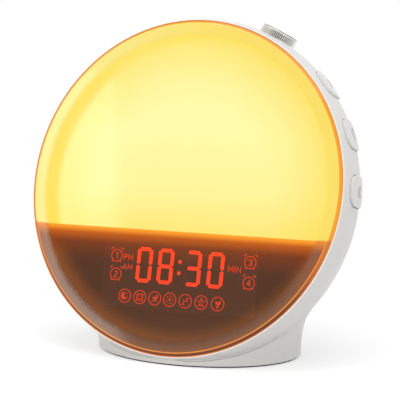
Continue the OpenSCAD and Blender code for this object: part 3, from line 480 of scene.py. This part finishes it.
def prism(bm, outline, z_low, z_high, place=on_face, bevel=0.0):
    """A closed flat piece over an outline of (x, y) points; its top edge can be bevelled."""
    count = len(outline)
    centre = Vector((sum(p[0] for p in outline) / count, sum(p[1] for p in outline) / count))

    def loop(z, inset):
        points = []
        for x, y in outline:
            away = Vector((x, y)) - centre
            keep = max(1 - inset / max(away.length, 1e-6), 0.0)
            at = centre + away * keep
            points.append(bm.verts.new(place(at.x, at.y, z)))
        return points

    rows = [loop(z_low, 0.0), loop(z_high - bevel, 0.0)]
    if bevel:
        rows.append(loop(z_high, bevel))
    for low, high in zip(rows, rows[1:]):
        for i in range(count):
            j = (i + 1) % count
            bm.faces.new((low[i], low[j], high[j], high[i]))
    bm.faces.new(rows[0][::-1])
    bm.faces.new(rows[-1])


def ribbon(bm, points, width, z_low, z_high, place=on_face, closed=False):
    """A stroke of constant width along (x, y) points, as one closed solid."""
    path = [Vector(p) for p in points]
    count = len(path)
    left, right = [], []
    for i, p in enumerate(path):
        before = path[i - 1] if (i or closed) else None
        after = path[(i + 1) % count] if (i + 1 < count or closed) else None
        into = (p - before).normalized() if before is not None else None
        out = (after - p).normalized() if after is not None else None
        along = ((into or out) + (out or into)).normalized()
        side = Vector((-along.y, along.x))
        reach = width / 2
        if into is not None and out is not None:
            reach /= max(side.dot(Vector((-into.y, into.x))), 0.5)
        left.append(p + side * reach)
        right.append(p - side * reach)

    def put(p, z):
        return bm.verts.new(place(p.x, p.y, z))

    rows = [[put(l, z_low), put(l, z_high), put(r, z_high), put(r, z_low)] for l, r in zip(left, right)]
    pairs = list(zip(rows, rows[1:]))
    if closed:
        pairs.append((rows[-1], rows[0]))
    for a, b in pairs:
        for i in range(4):
            j = (i + 1) % 4
            bm.faces.new((a[i], a[j], b[j], b[i]))
    if not closed:
        bm.faces.new(rows[0])
        bm.faces.new(rows[-1][::-1])


def arc(cx, cy, r, start, end, count=24):
    """Points on a circle from start to end, in degrees."""
    return [
        (cx + r * math.cos(math.radians(start + (end - start) * i / count)),
         cy + r * math.sin(math.radians(start + (end - start) * i / count)))
        for i in range(count + 1)
    ]


# ---------------------------------------------------------------- display


def segment_outline(cx, cy, length, upright):
    half, k = length / 2, SEGMENT_W / 2
    tip = k * 0.55
    points = [(-half, 0), (-half + tip, k), (half - tip, k), (half, 0), (half - tip, -k), (-half + tip, -k)]
    if upright:
        points = [(-y, x) for x, y in points]
    return [(cx + x, cy + y) for x, y in points]


def digit_outlines(cx):
    """The seven segments of a digit, keyed a to g."""
    gap = 0.35
    across = DIGIT_W - SEGMENT_W - gap
    half = (DIGIT_H - SEGMENT_W) / 2
    side = (DIGIT_W - SEGMENT_W) / 2
    cy = -DIGIT_DROP
    return {
        "a": segment_outline(cx, cy + half, across, False),
        "b": segment_outline(cx + side, cy + half / 2, half - gap, True),
        "c": segment_outline(cx + side, cy - half / 2, half - gap, True),
        "d": segment_outline(cx, cy - half, across, False),
        "e": segment_outline(cx - side, cy - half / 2, half - gap, True),
        "f": segment_outline(cx - side, cy + half / 2, half - gap, True),
        "g": segment_outline(cx, cy, across, False),
    }


LIT = {"0": "abcdef", "3": "abcdg", "8": "abcdefg"}
SEGMENT_LOW, SEGMENT_HIGH = -CASE_FRONT + 0.02, -CASE_FRONT + 0.38
SEGMENT_BEVEL = 0.12
lit_mesh, dark_mesh = bmesh.new(), bmesh.new()
for x, digit in zip(DIGIT_X, "0830"):
    for key, outline in digit_outlines(x).items():
        target = lit_mesh if key in LIT[digit] else dark_mesh
        prism(target, outline, SEGMENT_LOW, SEGMENT_HIGH, bevel=SEGMENT_BEVEL)
for y in (-2.8, 2.8):
    dot = arc(0.2, y - DIGIT_DROP, 0.95, 0, 360, 20)[:-1]
    prism(lit_mesh, dot, SEGMENT_LOW, SEGMENT_HIGH, bevel=SEGMENT_BEVEL)
digits = mesh_object("lit_digits", lit_mesh, MATERIALS["lit_segments"])
ghosts = mesh_object("unlit_segments", dark_mesh, GHOST)
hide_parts("display_segments")
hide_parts("display_segments")

# Strokes of the few letters and figures of the display, in a box one unit high
GLYPHS = {
    "A": (0.72, [[(0, 0), (0.36, 1), (0.72, 0)], [(0.14, 0.36), (0.58, 0.36)]]),
    "I": (0.05, [[(0.02, 0), (0.02, 1)]]),
    "M": (0.82, [[(0, 0), (0, 1), (0.41, 0.35), (0.82, 1), (0.82, 0)]]),
    "N": (0.7, [[(0, 0), (0, 1), (0.7, 0), (0.7, 1)]]),
    "P": (0.62, [[(0, 0), (0, 1), (0.42, 1), (0.62, 0.87), (0.62, 0.63), (0.42, 0.5), (0, 0.5)]]),
    "Z": (0.64, [[(0, 1), (0.64, 1), (0, 0), (0.64, 0)]]),
    "1": (0.4, [[(0, 0.74), (0.3, 1), (0.3, 0)]]),
    "2": (0.62, [[(0, 0.8), (0.3, 1), (0.58, 0.85), (0.56, 0.6), (0, 0), (0.62, 0)]]),
    "3": (0.6, [[(0, 0.92), (0.32, 1), (0.56, 0.8), (0.5, 0.58), (0.26, 0.52)],
                [(0.26, 0.52), (0.56, 0.42), (0.6, 0.2), (0.32, 0), (0, 0.1)]]),
    "4": (0.66, [[(0.48, 0), (0.48, 1), (0, 0.3), (0.66, 0.3)]]),
}
LETTER_GAP = 0.34
STROKE = 0.42
ICON_LOW, ICON_HIGH = -CASE_FRONT + 0.02, -CASE_FRONT + 0.2


def write(bm, word, x, y, height, width=STROKE):
    """A word centred on (x, y)."""
    total = (sum(GLYPHS[c][0] for c in word) + LETTER_GAP * (len(word) - 1)) * height
    at = x - total / 2
    for c in word:
        wide, strokes = GLYPHS[c]
        for stroke in strokes:
            points = [(at + px * height, y - height / 2 + py * height) for px, py in stroke]
            ribbon(bm, points, width, ICON_LOW, ICON_HIGH)
        at += (wide + LETTER_GAP) * height


def ring(bm, x, y, r):
    ribbon(bm, arc(x, y, r, 0, 360, 32)[:-1], STROKE, ICON_LOW, ICON_HIGH, closed=True)


def crescent(bm, x, y, r, turn, place=on_face, low=ICON_LOW, high=ICON_HIGH):
    """A moon whose hollow side faces the turn angle."""
    outer = arc(x, y, r, turn + 52, turn + 308, 22)
    start, end = Vector(outer[-1]), Vector(outer[0])
    back = Vector((math.cos(math.radians(turn)), math.sin(math.radians(turn))))
    bow = 0.62 * r
    steps = 14
    inner = []
    for i in range(1, steps):
        t = i / steps
        inner.append(tuple(start.lerp(end, t) - back * bow * math.sin(math.pi * t)))
    strip(bm, outer, [tuple(start), *inner, tuple(end)], low, high, place)


def strip(bm, one, other, low, high, place):
    """A flat piece between two lines that share their ends; the second runs the other way."""
    count = len(one)
    other = other[::-1]
    spans = [other[round(i * (len(other) - 1) / (count - 1))] for i in range(count)]
    rows = []
    for a, b in zip(one[1:-1], spans[1:-1]):
        rows.append([bm.verts.new(place(*a, low)), bm.verts.new(place(*a, high)),
                     bm.verts.new(place(*b, high)), bm.verts.new(place(*b, low))])
    tips = [[bm.verts.new(place(*p, low)), bm.verts.new(place(*p, high))] for p in (one[0], one[-1])]
    for a, b in zip(rows, rows[1:]):
        for i in range(4):
            j = (i + 1) % 4
            bm.faces.new((a[i], a[j], b[j], b[i]))
    for tip, row in ((tips[0], rows[0]), (tips[1], rows[-1])):
        bm.faces.new((tip[0], tip[1], row[1], row[0]))
        bm.faces.new((tip[1], tip[0], row[3], row[2]))
        bm.faces.new((tip[1], row[2], row[1]))
        bm.faces.new((tip[0], row[0], row[3]))


def disc(bm, x, y, r, place=on_face, low=ICON_LOW, high=ICON_HIGH):
    prism(bm, arc(x, y, r, 0, 360, 14)[:-1], low, high, place)


def alarm_icon(bm, x, y, figure):
    """A small alarm clock with a figure in its face."""
    ring(bm, x, y, 3.0)
    for side in (-1, 1):
        lean = 90 - side * 38
        cx = x + 4.0 * math.cos(math.radians(lean))
        cy = y + 4.0 * math.sin(math.radians(lean))
        ribbon(bm, arc(cx, cy, 0.7, lean - 75, lean + 75, 8), 0.5, ICON_LOW, ICON_HIGH)
        foot = 270 + side * 38
        ribbon(bm, [(x + r * math.cos(math.radians(foot)), y + r * math.sin(math.radians(foot)))
                    for r in (3.1, 4.0)], 0.5, ICON_LOW, ICON_HIGH)
    write(bm, figure, x, y, 3.0, 0.5)


def rays(bm, x, y, near, far, count, width=STROKE, turn=0.0):
    for i in range(count):
        a = math.radians(turn + 360 * i / count)
        line = [(x + r * math.cos(a), y + r * math.sin(a)) for r in (near, far)]
        ribbon(bm, line, width, ICON_LOW, ICON_HIGH)


def symbol(bm, kind, x, y):
    """One of the seven small round symbols."""
    ring(bm, x, y, 3.35)
    if kind == "night":
        crescent(bm, x - 0.3, y, 1.9, 20)
        disc(bm, x + 1.3, y + 1.1, 0.35)
        disc(bm, x + 1.7, y - 0.3, 0.25)
    elif kind == "radio":
        box = 1.6
        ribbon(bm, [(x - box, y - box), (x + box, y - box), (x + box, y + box), (x - box, y + box)],
               0.4, ICON_LOW, ICON_HIGH, closed=True)
        for dx in (-0.7, 0.7):
            for dy in (-0.7, 0.7):
                disc(bm, x + dx, y + dy, 0.32)
    elif kind == "dusk":
        crescent(bm, x + 0.2, y + 0.7, 1.4, 120)
        ribbon(bm, arc(x, y - 2.9, 1.9, 35, 145, 10), 0.4, ICON_LOW, ICON_HIGH)
    elif kind == "day":
        disc(bm, x, y, 0.6)
        rays(bm, x, y, 1.4, 2.2, 8)
    elif kind == "doze":
        write(bm, "Z", x - 0.9, y - 0.7, 1.9, 0.4)
        write(bm, "Z", x + 1.0, y + 0.7, 1.6, 0.4)
    elif kind == "breeze":
        rays(bm, x, y, 0.5, 2.5, 5, 0.4, 90)
        ribbon(bm, arc(x, y, 1.5, 60, 120, 6), 0.35, ICON_LOW, ICON_HIGH)
        ribbon(bm, arc(x, y, 1.5, 240, 300, 6), 0.35, ICON_LOW, ICON_HIGH)
    elif kind == "rest":
        crescent(bm, x + 0.3, y + 0.8, 1.5, 100)
        ribbon(bm, [(x, y - 0.6), (x, y - 2.4)], 0.5, ICON_LOW, ICON_HIGH)
        ribbon(bm, [(x - 1.0, y - 1.4), (x + 1.0, y - 1.4)], 0.4, ICON_LOW, ICON_HIGH)


DIM_RED = lit("display_print", srgb(255, 58, 12), 1.15)
marks = bmesh.new()
write(marks, "PM", -28.7, -36.5, 2.7)
write(marks, "AM", -28.7, -41.4, 2.7)
write(marks, "MIN", 29.9, -38.5, 2.9)
for x, y, figure in ((-35.3, -36.0, "1"), (-34.9, -45.4, "2"), (37.8, -34.6, "3"), (38.0, -44.6, "4")):
    alarm_icon(marks, x, y, figure)
for x, kind in zip((-28.5, -20.0, -11.6, -3.3, 5.2, 13.8, 22.7),
                   ("night", "radio", "dusk", "day", "doze", "breeze", "rest")):
    symbol(marks, kind, x, -56.0)
prints = mesh_object("display_marks", marks, DIM_RED)

# ---------------------------------------------------------------- marks on the side buttons


def on_button(angle, way):
    """A function that places (right, up, height above the cap) on the outer surface of a button.

    Way is 1 on the clock's right side and -1 on its left, so that marks stand upright on both.
    """
    reach = BULGE_R + BUTTON_RISE
    core = BODY_R - BULGE_R

    def place(x, y, z):
        depth = BUTTON_DEPTH + way * x
        out = core + math.sqrt(reach * reach - (depth - CREST_DEPTH) ** 2) + z
        turn = math.radians(angle) + way * y / (BODY_R + BUTTON_RISE)
        return FACE @ Vector((out * math.cos(turn), out * math.sin(turn), -depth))

    return place


MARK_W = 0.6
MARK_LOW, MARK_HIGH = -0.1, 0.22
for side in ("right", "left"):
    for index in range(3):
        angle = BUTTON_START + index * BUTTON_PITCH
        place = on_button(angle, 1) if side == "right" else on_button(180 - angle, -1)
        bm = bmesh.new()
        if index == 0:
            crescent(bm, 0.6, 0, 2.9, 0, place, MARK_LOW, MARK_HIGH)
        elif index == 1:
            bulb = arc(0, 0.9, 2.0, -55, 235, 20)
            for line in (bulb, [(-1.0, -1.7), (1.0, -1.7)], [(-0.7, -2.8), (0.7, -2.8)]):
                ribbon(bm, line, MARK_W, MARK_LOW, MARK_HIGH, place)
        else:
            disc(bm, -0.9, -1.8, 0.8, place, MARK_LOW, MARK_HIGH)
            ribbon(bm, [(-0.3, -1.8), (-0.3, 2.2), (1.8, 1.5)], MARK_W, MARK_LOW, MARK_HIGH, place)
        key = f"{side}_{index + 1}"
        # painted shade: the raised marks take the darker grey plastic in place of the shade round their
        # relief
        mark = mesh_object("mark_" + key, bm, MATERIALS["grey_plastic"], "button_" + key)

# ---------------------------------------------------------------- rounded joint of foot and body


def arc_centre(depth):
    """Centre, as radius and depth, and radius of the arc of the body's section at a depth."""
    if depth < SEAM_DEPTH:
        return BODY_R - BULGE_R, CREST_DEPTH, BULGE_R
    tilt = math.asin((SEAM_DEPTH - CREST_DEPTH) / BULGE_R)
    out = BODY_R - BULGE_R + (BULGE_R - REAR_BULGE_R) * math.cos(tilt)
    return out, SEAM_DEPTH - REAR_BULGE_R * math.sin(tilt), REAR_BULGE_R


TO_FACE = FACE.inverted()


def on_body(point, gap):
    """The nearest point of the round body's surface, lifted off it by gap.

    With it come the outward direction there and how far the given point lies outside the surface.
    """
    local = TO_FACE @ point
    radius, depth = math.hypot(local.x, local.y), -local.z
    out, ahead, bulge = arc_centre(depth)
    away = Vector((radius - out, depth - ahead))
    scale = (bulge + gap) / away.length
    stretch = (out + away.x * scale) / radius
    normal = Vector((local.x / radius * away.x, local.y / radius * away.x, -away.y)).normalized()
    at = Vector((local.x * stretch, local.y * stretch, -(ahead + away.y * scale)))
    return FACE @ at, (FACE.to_3x3() @ normal).normalized(), away.length - bulge


def foot_line(t):
    """Two points of the foot's outer wall at t: where it meets the body, and a little lower."""
    start = Vector((FOOT_A * math.sin(t), -FOOT_B * math.cos(t), PAD_T)) * MM
    depth = RIM_FRONT + (BACK_DEPTH - RIM_BACK - RIM_FRONT) * (1 - math.cos(t)) / 2
    swing = math.radians(FOOT_WRAP) * abs(math.sin(t)) ** FOOT_WRAP_POWER
    wrap = math.copysign(swing, math.sin(t)) - math.pi / 2
    out, ahead, bulge = arc_centre(depth)
    radius = out + math.sqrt(bulge ** 2 - (depth - ahead) ** 2)
    under = FACE @ Vector((radius * math.cos(wrap), radius * math.sin(wrap), -depth))
    rim = on_body(under, FOOT_GAP)[0]
    corner = Vector((start.x, start.y, (start.z + rim.z) / 2))

    def bend(k):
        return start * (1 - k) ** 2 + corner * 2 * k * (1 - k) + rim * k * k

    top = 1.0
    for i in range(1, FOOT_STEPS + 1):
        at = bend(i / FOOT_STEPS)
        if on_body(at, 0.0)[2] < FOOT_GAP - 0.01 and at.z > FOOT_LOWEST * MM:
            top = (i - 1) / FOOT_STEPS
            break
    return bend(top), bend(top * 7 / 8)


def fillet_row(t):
    """Section of the fillet at t: down on the foot, two points of the hollow, up on the body, its back."""
    edge, lower = foot_line(t)
    seat, normal, _ = on_body(edge, 0.0)
    outside = (lower - edge).normalized()
    away = (normal * outside.dot(normal) - outside).normalized()
    forward = (FACE.to_3x3() @ Vector((0, 0, 1))).normalized()
    ahead = away.dot(forward)
    # the fillet ends before the front edge of the body
    room = -(TO_FACE @ seat).z
    reach = FILLET if ahead <= 0 else min(FILLET, max(room - 0.3, 0.05) / ahead)
    low = edge + outside * FILLET * MM + normal * 0.02 * MM
    high = on_body(seat + away * reach * MM, 0.04)[0]
    back = on_body(edge, 0.05)[0]
    hollow = [low.lerp(high, k).lerp(back, 0.35) for k in (0.33, 0.67)]
    return [low, *hollow, high, back]


fillet = bmesh.new()
rows = []
for i in range(FOOT_ROWS):
    turn = 2 * math.pi * i / FOOT_ROWS
    # the rows stand closer together at the front and the back
    at = turn - math.radians(24) * math.sin(2 * turn)
    rows.append([fillet.verts.new(p) for p in fillet_row(at)])
for row, following in zip(rows, rows[1:] + rows[:1]):
    for i in range(5):
        j = (i + 1) % 5
        fillet.faces.new((row[i], row[j], following[j], following[i])).smooth = i < 3
blend = mesh_object("foot_fillet", fillet, MATERIALS["white_shell"])

# ---------------------------------------------------------------- camera, floor and light

CAMERA_AT = Vector((0.3035, -0.6537, 0.1661))  # in metres
CAMERA_AZIMUTH = math.radians(24.8465)
CAMERA_ELEVATION = math.radians(7.0361)
camera_data = bpy.data.cameras.new("camera")
camera_data.sensor_width = 36
camera_data.lens = 128.68
camera_data.clip_start = 0.01
camera = bpy.data.objects.new("camera", camera_data)
bpy.context.scene.collection.objects.link(camera)
camera.location = CAMERA_AT
camera.rotation_euler = (math.pi / 2 - CAMERA_ELEVATION, 0, CAMERA_AZIMUTH)
bpy.context.scene.camera = camera

world = Shader("world", world=True)
lighting = world.node("Background", {"Color": (0.98, 0.99, 1.0, 1.0), "Strength": 0.55})
backdrop = world.node("Background", {"Color": WHITE, "Strength": 1.0})
shown = world.node("MixShader", {0: world.backdrop_rays(), 1: lighting.outputs[0], 2: backdrop.outputs[0]})
bpy.context.scene.world = world.finish(shown.outputs[0])


def floor_material():
    """White paper that takes the object's shadow and shades off into the backdrop."""
    sh = Shader("floor")
    seen_rays = sh.backdrop_rays()
    paper = sh.blend(sh.noise(300.0, 2.0), scaled(WHITE, 0.69), scaled(WHITE, 0.71))
    matt = sh.node("BsdfDiffuse", {"Color": paper})
    lift = sh.node("Emission", {"Color": WHITE, "Strength": sh.math("MULTIPLY", seen_rays, 0.45)})
    near = sh.node("AddShader", {0: matt.outputs[0], 1: lift.outputs[0]})
    # past the object's shadow the floor is the plain white of the backdrop
    radius = sh.vector("LENGTH", sh.position(), (0.0, 0.0, 0.0), 1)
    past = sh.math("MULTIPLY", sh.ramp(radius, 0.1, 0.34), seen_rays)
    far = sh.node("Emission", {"Color": WHITE, "Strength": 1.0})
    paper_and_far = sh.node("MixShader", {0: past, 1: near.outputs[0], 2: far.outputs[0]})
    return sh.finish(paper_and_far.outputs[0])


FLOOR_REACH = 6.0       # in metres
mesh = bpy.data.meshes.new("floor")
corners = [(x * FLOOR_REACH, y * FLOOR_REACH, 0) for x, y in ((-1, -1), (1, -1), (1, 1), (-1, 1))]
mesh.from_pydata(corners, [], [(0, 1, 2, 3)])
floor = bpy.data.objects.new("floor", mesh)
bpy.context.scene.collection.objects.link(floor)
floor.data.materials.append(floor_material())


def lamp(name, azimuth, elevation, distance, width, height, power, color=(1, 1, 1), roll=0):
    """A soft rectangular lamp facing the object. Azimuth 0 is in front, positive to the right."""
    data = bpy.data.lights.new(name, "AREA")
    data.shape = "RECTANGLE"
    data.size, data.size_y = width, height
    data.energy = power
    data.color = color
    made = bpy.data.objects.new(name, data)
    bpy.context.scene.collection.objects.link(made)
    a, e = math.radians(azimuth), math.radians(elevation)
    away = Vector((math.sin(a) * math.cos(e), -math.cos(a) * math.cos(e), math.sin(e)))
    target = Vector((0, 0, 0.08))
    made.location = target + away * distance
    rolled = away.to_track_quat("Z", "Y") @ Quaternion((0, 0, 1), math.radians(roll))
    made.rotation_euler = rolled.to_euler()


lamp("softbox_left", -40, 12, 1.6, 0.27, 1.0, 4.4, (1.0, 0.94, 0.86), 20)
lamp("overhead", 10, 75, 1.5, 1.2, 1.2, 9.0)
lamp("right", 62, 12, 1.8, 0.8, 0.8, 5.5)

scene = bpy.context.scene
scene.view_settings.view_transform = "Standard"
